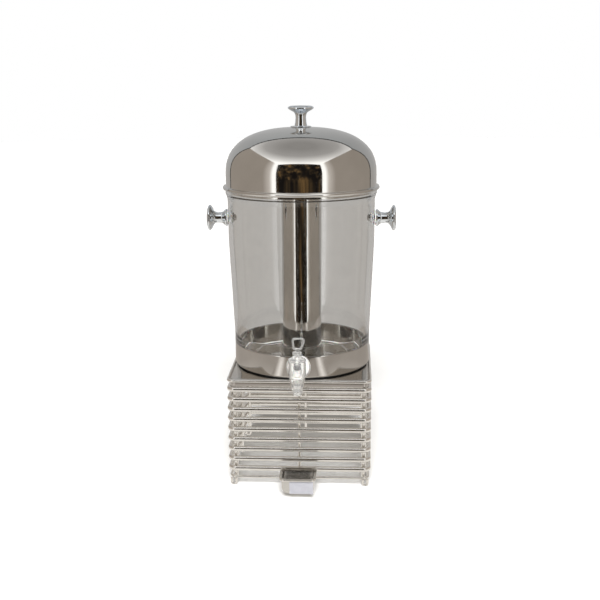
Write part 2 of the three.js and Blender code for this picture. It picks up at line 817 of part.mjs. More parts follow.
// The lever's loop: an open rounded trapezoid that leans a little to one side.
function loopOutline(inset, shape) {
  const corner = Math.max(4 - inset, 1);
  const bottom = inset;
  const top = leverLoopHeight - inset;
  const foot = leverFootWidth / 2 - inset;
  const head = leverTopWidth / 2 - inset;
  const lean = (z) => (leverLean * z) / leverLoopHeight;
  const half = (z) => foot + ((head - foot) * (z - bottom)) / (top - bottom);
  shape.moveTo(-foot + corner + lean(bottom), bottom);
  shape.lineTo(foot - corner + lean(bottom), bottom);
  shape.quadraticCurveTo(foot + lean(bottom), bottom, half(bottom + corner) + lean(bottom + corner), bottom + corner);
  shape.lineTo(half(top - corner) + lean(top - corner), top - corner);
  shape.quadraticCurveTo(head + lean(top), top, head - corner + lean(top), top);
  shape.lineTo(-head + corner + lean(top), top);
  shape.quadraticCurveTo(-head + lean(top), top, -half(top - corner) + lean(top - corner), top - corner);
  shape.lineTo(-half(bottom + corner) + lean(bottom + corner), bottom + corner);
  shape.quadraticCurveTo(-foot + lean(bottom), bottom, -foot + corner + lean(bottom), bottom);
  return shape;
}

function addTapLever() {
  const outline = loopOutline(0, new THREE.Shape());
  outline.holes.push(loopOutline(leverStrand, new THREE.Path()));
  const options = { depth: leverThickness, bevelEnabled: false, curveSegments: 4 };
  const loop = new THREE.ExtrudeGeometry(outline, options).rotateX(Math.PI / 2);
  loop.translate(0, tapY + leverThickness / 2, leverLoopBottom);
  const hubHalf = leverHub / 2 + 0.5;
  const hub = alongX(disc(leverHub, 0, 2 * hubHalf, smallFacets), -hubHalf, tapY, leverPivotZ);
  const neckHalf = leverThickness / 2;
  const neck = block(
    -hubHalf,
    hubHalf,
    tapY - neckHalf,
    tapY + neckHalf,
    leverPivotZ,
    leverLoopBottom + leverStrand / 2,
  );
  const pinHole = alongX(
    disc(1 + pinFit, 0, 4 * hubHalf, rodFacets),
    -2 * hubHalf,
    tapY,
    leverPivotZ,
  );
  const lever = solid(loop).add(solid(hub)).add(solid(neck)).subtract(solid(pinHole));
  add("tap_lever", geometryOf(lever), clearTap);
}

// Inside the barrel: the stem, the black seal on it, and the ribbed silicone seat below.
function addTapStem() {
  const stemBottom = barrelFloor + 2;
  add("tap_stem", disc(stemRadius, stemBottom, stemTop, smallFacets).translate(0, tapY, 0), whitePlastic);
  const hole = stemRadius + pinFit;
  const sealBottom = bellowsTop + touchGap;
  const seal = washer(hole, stemSealRadius, sealBottom, sealBottom + stemSealHeight, smallFacets);
  add("stem_seal", seal.translate(0, tapY, 0), blackRubber);
  const seatBottom = barrelFloor + touchGap;
  const pitch = (bellowsTop - seatBottom) / (bellowsRibs + 0.5);
  const profile = [[hole, seatBottom]];
  for (let i = 0; i <= bellowsRibs; i++) {
    const z = seatBottom + i * pitch;
    profile.push([stemSealRadius + (i === 0 ? 1.4 : 0), z]);
    profile.push([stemSealRadius + (i === 0 ? 1.4 : 0), z + pitch * 0.45]);
    if (i < bellowsRibs) profile.push([stemSealRadius - 1.6, z + pitch * 0.55]);
    if (i < bellowsRibs) profile.push([stemSealRadius - 1.6, z + pitch * 0.9]);
  }
  profile.push([hole, bellowsTop - pitch * 0.05]);
  add("tap_seat", turnedRing(profile, smallFacets).translate(0, tapY, 0), whiteSilicone);
}

addHoops();
addPosts();
addTopPlate();
addFeet();
addTrayCradle();
addDripTray();
addDripGrille();
addBase();
addTank();
addIceTube();
addLid();
addLidKnob();
addSideKnobs();
addTapBody();
addTapFasteners();
addTapBonnet();
addTapLever();
addTapStem();

// The tray stands out at the front and the lid's bead at the back: the origin is half-way.
const frontReach = trayFront - trayRim;
const backReach = lidWallRadius + lidBead;
assembly.position.y = -(frontReach + backReach) / 2;

export default dispenser;
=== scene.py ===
import math

import bmesh
import bpy
from mathutils import Matrix, Vector, noise


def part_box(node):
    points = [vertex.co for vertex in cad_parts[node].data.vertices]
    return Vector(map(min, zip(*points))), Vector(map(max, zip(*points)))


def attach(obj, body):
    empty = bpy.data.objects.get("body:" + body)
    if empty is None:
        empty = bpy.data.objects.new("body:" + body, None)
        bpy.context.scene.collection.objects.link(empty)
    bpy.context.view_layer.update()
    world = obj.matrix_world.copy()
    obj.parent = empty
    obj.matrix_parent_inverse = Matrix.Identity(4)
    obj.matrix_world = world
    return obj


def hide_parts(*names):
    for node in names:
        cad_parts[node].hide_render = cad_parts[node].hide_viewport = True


# Beverage dispenser: the looks around the CAD frame. Shapes are built in millimetres about the
# object's own origin and scaled to metres when a piece is made.

MM = 0.001
FINE = 160  # facets round the tank, the pan and the lid
MEDIUM = 96  # facets round knobs, the ice tube and the tap
SMALL = 48  # facets round screws and pins
SCREW_HOLE = 2.65  # radius of each hole for a screw or bolt
SHANK = 7.5  # radius of the tap's shank
FIT = 0.25  # clearance round the shank
NO_TURN = Matrix.Identity(4)
TO_RIGHT = Matrix.Rotation(math.radians(90), 4, "Y")
TO_LEFT = Matrix.Rotation(math.radians(-90), 4, "Y")
TO_BACK = Matrix.Rotation(math.radians(-90), 4, "X")

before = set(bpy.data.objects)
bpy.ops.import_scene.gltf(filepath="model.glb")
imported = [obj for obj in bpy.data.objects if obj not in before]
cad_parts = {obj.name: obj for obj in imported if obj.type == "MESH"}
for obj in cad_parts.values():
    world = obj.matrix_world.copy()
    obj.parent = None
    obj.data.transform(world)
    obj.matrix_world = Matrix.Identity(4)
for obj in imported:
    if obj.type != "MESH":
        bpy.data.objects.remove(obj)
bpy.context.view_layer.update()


# ---------------------------------------------------------------- measures of the CAD frame


def span(node):
    """A CAD node's lowest and highest corner."""
    low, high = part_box(node)
    return low / MM, high / MM


def middle(node):
    low, high = span(node)
    return (low + high) / 2


def size(node):
    low, high = span(node)
    return high - low


AXIS = middle("ice_tube").xy
TAP_AXIS = middle("tap_stem").xy
TAP_HEIGHT = middle("tap_outer_gasket").z


def on_axis(height=0):
    return Matrix.Translation((AXIS.x, AXIS.y, height))


def on_tap(height=0):
    return Matrix.Translation((TAP_AXIS.x, TAP_AXIS.y, height))


# ---------------------------------------------------------------- shape helpers


def rounded(corners, closed=False, steps=6):
    """The corners (x, y, radius) as points, with an arc in place of each corner with a radius."""
    points = []
    for i, (x, y, radius) in enumerate(corners):
        corner = Vector((x, y))
        at_end = not closed and i in (0, len(corners) - 1)
        if radius == 0 or at_end:
            points.append(corner)
            continue
        back = Vector(corners[i - 1][:2]) - corner
        ahead = Vector(corners[(i + 1) % len(corners)][:2]) - corner
        half_angle = back.angle(ahead) / 2
        if half_angle > math.radians(89.5):
            points.append(corner)
            continue
        reach = min(radius / math.tan(half_angle), 0.48 * back.length, 0.48 * ahead.length)
        inward = (back.normalized() + ahead.normalized()).normalized()
        hub = corner + inward * reach / math.cos(half_angle)
        start = corner + back.normalized() * reach - hub
        end = corner + ahead.normalized() * reach - hub
        sweep = math.atan2(start.x * end.y - start.y * end.x, start.dot(end))
        for step in range(steps + 1):
            points.append(hub + Matrix.Rotation(sweep * step / steps, 2) @ start)
    return points


def braced(points, closed=False, brace=0.4):
    """The line with a point just inside both ends of each long run, to keep its shading flat."""
    long_run = 8 * brace
    line = [Vector(point) for point in points]
    after = line[1:] + line[:1] if closed else line[1:]
    fuller = []
    for start, end in zip(line, after):
        run = end - start
        fuller.append(start)
        if run.length > long_run:
            fuller += [start + run.normalized() * brace, end - run.normalized() * brace]
    if not closed:
        fuller.append(line[-1])
    return fuller


def turned(outline, facets=MEDIUM, closed=False):
    """A shape turned about Z from points (radius, height)."""
    shape = bmesh.new()
    rings = []
    for radius, height in braced(outline, closed):
        if radius < 1e-6:
            rings.append([shape.verts.new((0, 0, height))] * facets)
            continue
        angles = [2 * math.pi * step / facets for step in range(facets)]
        points = [(radius * math.cos(a), radius * math.sin(a), height) for a in angles]
        rings.append([shape.verts.new(point) for point in points])
    after = rings[1:] + rings[:1] if closed else rings[1:]
    for lower, upper in zip(rings, after):
        for step in range(facets):
            following = (step + 1) % facets
            corners = [lower[step], lower[following], upper[following], upper[step]]
            corners = list(dict.fromkeys(corners))  # three where a ring is one point
            if len(corners) > 2:
                shape.faces.new(corners)
    bmesh.ops.recalc_face_normals(shape, faces=shape.faces)
    return shape


def ring(inner, outer, bottom, top, edge, facets=MEDIUM):
    """A washer, seal or sleeve with softened edges."""
    corners = [(inner, bottom, edge), (outer, bottom, edge), (outer, top, edge), (inner, top, edge)]
    return turned(rounded(corners, closed=True, steps=4), facets, closed=True)


def rod(radius, bottom, top, edge, facets=SMALL):
    corners = [(0, bottom, 0), (radius, bottom, edge), (radius, top, edge), (0, top, 0)]
    return turned(rounded(corners, steps=4), facets)


def lofted(rings, looped=False):
    """A skin over rings of equal length, closed with a flat face at each end or looped."""
    shape = bmesh.new()
    lines = rings if looped else [braced(points, closed=True) for points in rings]
    if len({len(line) for line in lines}) > 1:
        lines = rings  # runs that are long in some rings only stay without braces
    rows = [[shape.verts.new(point) for point in points] for points in lines]
    after = rows[1:] + rows[:1] if looped else rows[1:]
    for lower, upper in zip(rows, after):
        for step in range(len(lower)):
            following = (step + 1) % len(lower)
            shape.faces.new([lower[step], lower[following], upper[following], upper[step]])
    if not looped:
        shape.faces.new(rows[0])
        shape.faces.new(rows[-1])
    bmesh.ops.recalc_face_normals(shape, faces=shape.faces)
    return shape


def rounded_rectangle(half_x, half_y, corner, height, steps=8):
    """A level ring of points round a rectangle with round corners."""
    points = []
    for quarter, (sign_x, sign_y) in enumerate([(1, 1), (-1, 1), (-1, -1), (1, -1)]):
        hub = Vector((sign_x * (half_x - corner), sign_y * (half_y - corner), height))
        for step in range(steps + 1):
            angle = (quarter + step / steps) * math.pi / 2
            points.append(hub + corner * Vector((math.cos(angle), math.sin(angle), 0)))
    return points


def swept(path, radius, closed=False, sides=20):
    """A round wire along a path."""
    path = braced(path, closed, brace=1.0)
    up = Vector((0, 0, 1))
    if abs((path[1] - path[0]).normalized().dot(up)) > 0.9:
        up = Vector((0, 1, 0))
    rings = []
    for i, point in enumerate(path):
        before = path[i - 1] if closed or i > 0 else point
        after = path[(i + 1) % len(path)] if closed or i < len(path) - 1 else point
        side = (after - before).cross(up).normalized()
        up = side.cross(after - before).normalized()
        angles = [2 * math.pi * step / sides for step in range(sides)]
        rings.append([point + radius * (math.cos(a) * side + math.sin(a) * up) for a in angles])
    return lofted(rings, looped=closed)


def moved(shape, matrix):
    bmesh.ops.transform(shape, matrix=matrix, verts=shape.verts)
    return shape


def joined(shapes):
    """Several separate shapes as one."""
    whole = bmesh.new()
    for shape in shapes:
        mesh = bpy.data.meshes.new("part")
        shape.to_mesh(mesh)
        shape.free()
        whole.from_mesh(mesh)
        bpy.data.meshes.remove(mesh)
    return whole


def combined(shape, others, operation):
    """Cuts the other shapes from a shape, or adds them to it."""
    made = []
    for each in [shape] + others:
        mesh = bpy.data.meshes.new("part")
        each.to_mesh(mesh)
        each.free()
        part = bpy.data.objects.new("part", mesh)
        bpy.context.scene.collection.objects.link(part)
        made.append(part)
    for part in made[1:]:
        step = made[0].modifiers.new("step", "BOOLEAN")
        step.operation = operation
        step.solver = "EXACT"
        step.object = part
    graph = bpy.context.evaluated_depsgraph_get()
    result = bmesh.new()
    result.from_mesh(made[0].evaluated_get(graph).to_mesh())
    for part in made:
        bpy.data.objects.remove(part)
    sliver = 1e-4
    bmesh.ops.remove_doubles(result, verts=result.verts, dist=sliver)
    bmesh.ops.dissolve_degenerate(result, dist=sliver, edges=result.edges)
    return result


def piece(name, shape, look, body, slot, nodes=(), place=NO_TURN, crease=32):
    """Makes a shape into a piece that rides on a body and stands for CAD nodes."""
    mesh = bpy.data.meshes.new(name)
    bmesh.ops.scale(shape, vec=(MM, MM, MM), verts=shape.verts)
    shape.to_mesh(mesh)
    shape.free()
    made = bpy.data.objects.new(name, mesh)
    bpy.context.scene.collection.objects.link(made)
    mesh.shade_smooth()
    mesh.set_sharp_from_angle(angle=math.radians(crease))
    mesh.materials.append(look)
    made.visible_shadow = not slot.startswith("clear")  # light goes through clear pieces
    spot = place.copy()
    spot.translation *= MM
    made.matrix_world = spot
    if nodes:
        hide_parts(*nodes)
    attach(made, body)
    return made


# ---------------------------------------------------------------- materials


def add_node(tree, kind, settings=None, **inputs):
    """A shader node. Each input, named with _ for a space, is a value or another node's output."""
    made = tree.nodes.new("ShaderNode" + kind)
    for key, value in (settings or {}).items():
        setattr(made, key, value)
    for key, value in inputs.items():
        socket = made.inputs[key.replace("_", " ")]
        if isinstance(value, bpy.types.NodeSocket):
            tree.links.new(value, socket)
        else:
            socket.default_value = value
    return made


def ramp(tree, factor, stops):
    """A colour ramp with stops (position, colour)."""
    made = add_node(tree, "ValToRGB", Fac=factor)
    elements = made.color_ramp.elements
    while len(elements) < len(stops):
        elements.new(0.5)
    for element, (position, colour) in zip(elements, stops):
        element.position = position
        element.color = (*colour, 1)
    return made.outputs["Color"]


def between(tree, value, low, high, start=0.3, end=0.7):
    spread = {"From_Min": start, "From_Max": end, "To_Min": low, "To_Max": high}
    return add_node(tree, "MapRange", Value=value, **spread).outputs["Result"]


def cloud(tree, place, scale, detail=3.0, roughness=0.55):
    made = add_node(tree, "TexNoise", Vector=place, Scale=scale, Detail=detail, Roughness=roughness)
    return made.outputs["Fac"]


def stretched(tree, place, scale):
    made = add_node(tree, "Mapping", Vector=place)
    made.inputs["Scale"].default_value = scale
    return made.outputs["Vector"]


def spun(tree, place):
    """Coordinates that change only with the radius and the height, for marks left by turning."""
    flat = add_node(tree, "VectorMath", {"operation": "MULTIPLY"})
    tree.links.new(place, flat.inputs[0])
    flat.inputs[1].default_value = (1, 1, 0)
    reach = add_node(tree, "VectorMath", {"operation": "LENGTH"})
    tree.links.new(flat.outputs["Vector"], reach.inputs[0])
    parts = add_node(tree, "SeparateXYZ", Vector=place)
    both = add_node(tree, "CombineXYZ", X=reach.outputs["Value"], Z=parts.outputs["Z"])
    return both.outputs["Vector"]


def surface(name, build, **sockets):
    """A material with one Principled shader. build links its textures, sockets are its constants."""
    look = bpy.data.materials.new(name)
    look.use_nodes = True
    tree = look.node_tree
    shader = tree.nodes["Principled BSDF"]
    for key, value in sockets.items():
        shader.inputs[key.replace("_", " ")].default_value = value
    place = add_node(tree, "TexCoord").outputs["Object"]
    links = build(tree, place)
    for key, value in links.items():
        tree.links.new(value, shader.inputs[key.replace("_", " ")])
    return look


def relief(tree, heights):
    """Bumps laid over each other, from (height, depth in millimetres)."""
    normal = None
    for height, depth in heights:
        made = add_node(tree, "Bump", Height=height, Strength=1.0, Distance=depth * MM)
        if normal:
            tree.links.new(normal, made.inputs["Normal"])
        normal = made.outputs["Normal"]
    return normal


def polished(dark, light, gloss, haze, marks):
    """Sheet steel with turning marks, light smudges and a slightly uneven colour."""

    def build(tree, place):
        turning = cloud(tree, spun(tree, place), 900, 2)
        smudges = cloud(tree, place, 45, 6, 0.7)
        waves = cloud(tree, place, 14, 1)
        return {
            "Base_Color": ramp(tree, cloud(tree, place, 9), [(0.35, dark), (0.7, light)]),
            "Roughness": between(tree, smudges, gloss, haze, 0.42, 0.75),
            "Normal": relief(tree, [(turning, marks), (waves, marks * 12)]),
        }

    return build


def drawn_wire(dark, light, gloss, haze):
    """Plated wire: bright, with faint ripples under the plating and duller patches."""

    def build(tree, place):
        patches = cloud(tree, place, 60, 5, 0.65)
        ripples = cloud(tree, place, 260, 2)
        return {
            "Base_Color": ramp(tree, cloud(tree, place, 30), [(0.35, dark), (0.7, light)]),
            "Roughness": between(tree, patches, gloss, haze, 0.4, 0.7),
            "Normal": relief(tree, [(ripples, 0.0012)]),
        }

    return build


def clear_wall(tree, place):
    """Drawn clear plastic: faint upright streaks and a few hazy places."""
    streaks = cloud(tree, stretched(tree, place, (1, 1, 0.02)), 110, 3)
    haze = cloud(tree, place, 35, 5, 0.7)
    return {
        "Base_Color": ramp(tree, haze, [(0.3, (0.93, 0.935, 0.93)), (0.7, (0.97, 0.97, 0.965))]),
        "Roughness": between(tree, haze, 0.0, 0.035, 0.5, 0.8),
        "Normal": relief(tree, [(streaks, 0.045)]),
    }


def clear_moulding(tree, place):
    """Moulded clear plastic: flow lines and a cloudy bloom."""
    bloom = cloud(tree, place, 160, 5, 0.7)
    flow = cloud(tree, stretched(tree, place, (1, 1, 0.3)), 320, 2)
    return {
        "Base_Color": ramp(tree, bloom, [(0.3, (0.93, 0.94, 0.93)), (0.7, (0.99, 0.99, 0.985))]),
        "Roughness": between(tree, bloom, 0.01, 0.10),
        "Normal": relief(tree, [(flow, 0.015)]),
    }


def soft_skin(dark, light, low, high, grain, depth):
    """Moulded rubber, silicone or plastic with a fine grain."""

    def build(tree, place):
        tone = cloud(tree, place, grain * 0.1, 4)
        pores = cloud(tree, place, grain, 4, 0.7)
        return {
            "Base_Color": ramp(tree, tone, [(0.3, dark), (0.7, light)]),
            "Roughness": between(tree, pores, low, high),
            "Normal": relief(tree, [(pores, depth)]),
        }

    return build


def paper(tree, place):
    """Coated label paper: fibres, a faint mottle and soft wrinkles."""
    fibres = cloud(tree, stretched(tree, place, (1, 1, 0.35)), 1600, 4, 0.7)
    wrinkles = cloud(tree, place, 70, 2)
    mottle = cloud(tree, place, 120, 4)
    return {
        "Base_Color": ramp(tree, mottle, [(0.3, (0.32, 0.32, 0.35)), (0.7, (0.37, 0.37, 0.40))]),
        "Roughness": between(tree, fibres, 0.42, 0.62),
        "Normal": relief(tree, [(fibres, 0.01), (wrinkles, 0.12)]),
    }


def all_looks():
    steel_dark, steel_light = (0.60, 0.585, 0.56), (0.72, 0.705, 0.68)
    return {
        "polished_steel": surface(
            "polished_steel",
            polished(steel_dark, steel_light, 0.045, 0.13, 0.0016),
            Metallic=1.0,
        ),
        "plate_steel": surface(
            "plate_steel",
            polished(steel_dark, steel_light, 0.07, 0.16, 0.0010),
            Metallic=1.0,
        ),
        "wire_chrome": surface(
            "wire_chrome",
            drawn_wire((0.80, 0.78, 0.75), (0.90, 0.885, 0.86), 0.16, 0.27),
            Metallic=1.0,
        ),
        "knob_chrome": surface(
            "knob_chrome",
            polished((0.80, 0.84, 0.88), (0.88, 0.92, 0.96), 0.025, 0.08, 0.0008),
            Metallic=1.0,
        ),
        "fastener_steel": surface(
            "fastener_steel",
            polished((0.42, 0.41, 0.40), (0.58, 0.57, 0.55), 0.2, 0.38, 0.004),
            Metallic=1.0,
        ),
        "clear_tank": surface("clear_tank", clear_wall, IOR=1.49, Transmission_Weight=1.0),
        "clear_tap": surface("clear_tap", clear_moulding, IOR=1.49, Transmission_Weight=0.91),
        "black_rubber": surface(
            "black_rubber",
            soft_skin((0.010, 0.010, 0.010), (0.028, 0.027, 0.026), 0.5, 0.75, 900, 0.02),
        ),
        "white_silicone": surface(
            "white_silicone",
            soft_skin((0.68, 0.675, 0.65), (0.82, 0.815, 0.79), 0.35, 0.55, 700, 0.015),
            Subsurface_Weight=0.2,
            Subsurface_Scale=0.002,
        ),
        "white_plastic": surface(
            "white_plastic",
            soft_skin((0.70, 0.69, 0.65), (0.82, 0.81, 0.77), 0.28, 0.45, 800, 0.01),
        ),
        "label_paper": surface("label_paper", paper),
    }


LOOKS = all_looks()


# ---------------------------------------------------------------- the cage stand


def add_hoop(node, corner):
    """A square ring of wire at the height and size of a CAD ring."""
    extent = size(node)
    radius = extent.z / 2
    half = extent.x / 2 - radius
    shape = swept(rounded_rectangle(half, half, corner, 0, steps=10), radius, closed=True, sides=24)
    at = on_axis(middle(node).z)
    piece(f"{node}_wire", shape, LOOKS["wire_chrome"], "stand", "wire_chrome", [node], at)


def add_upright(node):
    extent = size(node)
    shape = rod(extent.x / 2, -extent.z / 2, extent.z / 2, 0.5, 32)
    at = Matrix.Translation(middle(node))
    piece(f"{node}_wire", shape, LOOKS["wire_chrome"], "stand", "wire_chrome", [node], at)


def weld_bead(place, radii):
    """A small uneven bead of weld metal."""
    bead = bmesh.new()
    bmesh.ops.create_icosphere(bead, subdivisions=3, radius=1)
    for vertex in bead.verts:
        lump = noise.noise(vertex.co * 1.7 + place)
        vertex.co = Matrix.Diagonal(radii) @ vertex.co * (1 + 0.18 * lump)
    return moved(bead, Matrix.Translation(place))


def add_welds(hoops):
    """A bead on both sides of each middle rod, at every hoop."""
    beside, sunk = 2.3, 0.4
    long, short, tall = 2.4, 0.9, 1.9
    beads = []
    for node in hoops:
        height = middle(node).z
        for side in ["front", "right", "back", "left"]:
            away = middle(f"middle_rod_{side}").xy - AXIS
            out = away.normalized()
            along = Vector((-out.y, out.x))
            half = size(node).x / 2 - size(node).z
            for sign in (-1, 1):
                spot = AXIS + out * (half - sunk) + along * sign * beside
                spread = [abs(part) * (long - short) + short for part in along]
                radii = Vector((*spread, tall))
                beads.append(weld_bead(Vector((spot.x, spot.y, height)), radii))
    piece("middle_rod_welds", joined(beads), LOOKS["wire_chrome"], "stand", "wire_chrome")


def add_top_plate():
    """A folded plate: a flat top with a soft fold, and a skirt all round, open below."""
    low, high = span("top_plate")
    half = (high.x - low.x) / 2
    corner, fold, sheet, ease, steps = 8, 2.2, 1.6, 0.4, 6
    top, bottom = high.z, low.z
    rings = []
    for step in range(steps + 1):
        angle = math.pi / 2 * step / steps
        inset = fold * (1 - math.sin(angle))
        height = top - fold * (1 - math.cos(angle))
        rings.append(rounded_rectangle(half - inset, half - inset, corner - inset, height))
    edge = [
        (0, bottom + ease),
        (ease, bottom),
        (sheet - ease, bottom),
        (sheet, bottom + ease),
        (sheet, top - sheet),
    ]
    for inset, height in edge:
        rings.append(rounded_rectangle(half - inset, half - inset, corner - inset, height))
    steel = LOOKS["plate_steel"]
    piece("top_plate_sheet", lofted(rings), steel, "stand", "polished_steel", ["top_plate"], on_axis())


def add_foot(node):
    """A wire bent into a U that hangs from the bottom rail."""
    low, high = span(node)
    radius = (high.y - low.y) / 2
    bend = (high.x - low.x) / 2 - radius
    height, steps = high.z - low.z, 16
    path = [Vector((-bend, 0, height))]
    for step in range(steps + 1):
        angle = math.pi + math.pi * step / steps
        path.append(Vector((bend * math.cos(angle), 0, bend + radius + bend * math.sin(angle))))
    path.append(Vector((bend, 0, height)))
    shape = swept(path, radius)
    at = Matrix.Translation((middle(node).x, middle(node).y, low.z))
    piece(f"{node}_wire", shape, LOOKS["wire_chrome"], "stand", "wire_chrome", [node], at)


def add_cradle():
    low, high = span("tray_cradle")
    radius = (high.z - low.z) / 2
    half = (high.x - low.x) / 2 - radius
    front, back = low.y + radius, high.y
    bend = 6.8
    corners = [(-half, back, 0), (-half, front, bend), (half, front, bend), (half, back, 0)]
    path = [Vector((x, y, 0)) for x, y in rounded(corners, steps=12)]
    shape = swept(path, radius)
    at = Matrix.Translation((0, 0, middle("tray_cradle").z))
    piece("tray_cradle_wire", shape, LOOKS["wire_chrome"], "stand", "wire_chrome", ["tray_cradle"], at)


def add_stand():
    hoop_count, corner_radius = 9, 9
    hoops = [f"hoop_{i + 1}" for i in range(hoop_count)]
    for node in hoops + ["bottom_rail", "top_rail"]:
        add_hoop(node, corner_radius)
    for corner in ["front_left", "front_right", "back_right", "back_left"]:
        add_upright(f"corner_post_{corner}")
        add_foot(f"foot_{corner}")
    for side in ["front", "right", "back", "left"]:
        add_upright(f"middle_rod_{side}")
    add_welds(hoops)
    add_top_plate()
    add_cradle()


# ---------------------------------------------------------------- the drip tray

TRAY_RIM = 3.5


def add_drip_tray():
    """A pressed tray with round lower edges, a flat rim and a softened lip."""
    low, high = span("drip_tray")
    sheet, bend, corner = 1.0, 8.0, 5.0
    front_slope = 2.4
    half_x = (high.x - low.x) / 2 - TRAY_RIM
    half_y = (high.y - low.y) / 2 - TRAY_RIM
    depth = high.z - low.z
    steps, lip_steps = 8, 6
    rings = []
    for step in range(steps + 1):
        angle = math.pi / 2 * step / steps
        inset = bend * (1 - math.sin(angle))
        height = bend * (1 - math.cos(angle))
        front = front_slope * (1 - math.sin(angle))
        rings.append(rounded_rectangle(half_x - inset, half_y - front, corner, height))
    under_rim = [(0, depth - sheet - 1.2), (0.4, depth - sheet - 0.3), (1.2, depth - sheet)]
    lip = []
    for step in range(lip_steps + 1):
        angle = -math.pi / 2 + math.pi * step / lip_steps
        reach = TRAY_RIM - sheet / 2 + sheet / 2 * math.cos(angle)
        lip.append((reach, depth - sheet / 2 + sheet / 2 * math.sin(angle)))
    into_tray = [(0.3, depth), (-0.6, depth - 0.3), (-sheet, depth - 1.2)]
    for reach, height in under_rim + lip + into_tray:
        rings.append(rounded_rectangle(half_x + reach, half_y + reach, corner + reach, height))
    for step in range(steps, -1, -1):
        angle = math.pi / 2 * step / steps
        inset = sheet + (bend - sheet) * (1 - math.sin(angle))
        front = sheet + (front_slope - sheet) * (1 - math.sin(angle))
        height = sheet + (bend - sheet) * (1 - math.cos(angle))
        rings.append(rounded_rectangle(half_x - inset, half_y - front, corner - sheet, height))
    at = Matrix.Translation((middle("drip_tray").x, middle("drip_tray").y, low.z))
    steel = LOOKS["plate_steel"]
    piece("drip_tray_pressing", lofted(rings), steel, "drip_tray", "polished_steel", ["drip_tray"], at)


def outer_line(grid):
    """The points round the edge of a grid, in order."""
    right = [line[-1] for line in grid[1:]]
    left = [line[0] for line in grid[-2:0:-1]]
    return grid[0] + right + grid[-1][-2::-1] + left


def add_tray_label():
    """A blank paper label on the tray's front, its corners lifting a little."""
    low, high = span("drip_tray")
    to_right, below_rim = 5.6, 1.3
    lift, waviness = 0.25, 0.03
    width, height, thickness = 34.5, 22.4, 0.12
    columns, rows = 28, 18
    shape = bmesh.new()
    sides = []
    for back in (0, thickness):
        grid = []
        for row in range(rows + 1):
            line = []
            for column in range(columns + 1):
                x = width * (column / columns - 0.5)
                z = height * (row / rows - 0.5)
                corner = abs(2 * x / width) ** 6 * abs(2 * z / height) ** 6
                wave = waviness * noise.noise(Vector((x * 0.2, z * 0.25, 0)))
                line.append(shape.verts.new((x, back - lift * corner - wave - 0.04, z)))
            grid.append(line)
        sides.append(grid)
    for grid in sides:
        for row in range(rows):
            for column in range(columns):
                corners = [grid[row][column], grid[row][column + 1]]
                corners += [grid[row + 1][column + 1], grid[row + 1][column]]
                shape.faces.new(corners)
    front, behind = [outer_line(grid) for grid in sides]
    for i in range(len(front)):
        following = (i + 1) % len(front)
        shape.faces.new([front[i], front[following], behind[following], behind[i]])
    bmesh.ops.recalc_face_normals(shape, faces=shape.faces)
    x = middle("drip_tray").x + to_right
    at = Matrix.Translation((x, low.y + TRAY_RIM - thickness - 0.03, high.z - below_rim - height / 2))
    piece("drip_tray_label", shape, LOOKS["label_paper"], "drip_tray", "white_plastic", (), at)


def finish_grille():
    """The grille keeps its CAD shape, with the cut edges eased."""
    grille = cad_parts["drip_grille"]
    ease = grille.modifiers.new("eased_edges", "BEVEL")
    ease.width = 0.25 * MM
    ease.segments = 3
    ease.angle_limit = math.radians(40)
    grille.data.materials.clear()
    grille.data.materials.append(LOOKS["fastener_steel"])


# ---------------------------------------------------------------- the tank


def tap_drill():
    """A drill along the tap's axis, from the front into the middle of the tank."""
    reach = 150
    drill = rod(SHANK + FIT, 0, reach, 0, 64)
    return moved(drill, Matrix.Translation((0, -reach, TAP_HEIGHT)) @ TO_BACK)


def add_base():
    low, high = span("base_pad")
    outer = (high.x - low.x) / 2
    pad_width = 9
    pad = ring(outer - pad_width, outer, low.z, high.z, 0.5, FINE)
    piece("base_pad_ring", pad, LOOKS["black_rubber"], "tank", "black_rubber", ["base_pad"], on_axis())

    low, high = span("base_pan")
    outer, sheet = (high.x - low.x) / 2, 1.4
    floor = low.z + sheet
    swage_outer, swage_inner, swage_height = 78, 73, 0.9
    corners = [
        (0, low.z, 0),
        (outer, low.z, 2.2),
        (outer, high.z - 1.5, 0.4),
        (outer, high.z, 0.65),
        (outer - sheet, high.z, 0.65),
        (outer - sheet, floor, 1.2),
        (swage_outer, floor, 0.6),
        (swage_outer - 1.6, floor + swage_height, 0.6),
        (swage_inner + 1.6, floor + swage_height, 0.6),
        (swage_inner, floor, 0.6),
        (46, floor, 0),
        (0, floor, 0),
    ]
    pan = combined(turned(rounded(corners), FINE), [tap_drill()], "DIFFERENCE")
    piece("base_pan_sheet", pan, LOOKS["polished_steel"], "tank", "polished_steel", ["base_pan"], on_axis())

    low, high = span("tank_seal")
    outer, seal_width = (high.x - low.x) / 2, 3
    seal = ring(outer - seal_width, outer, low.z, high.z, 0.8, FINE)
    silicone = LOOKS["white_silicone"]
    piece("tank_seal_ring", seal, silicone, "tank", "white_silicone", ["tank_seal"], on_axis())


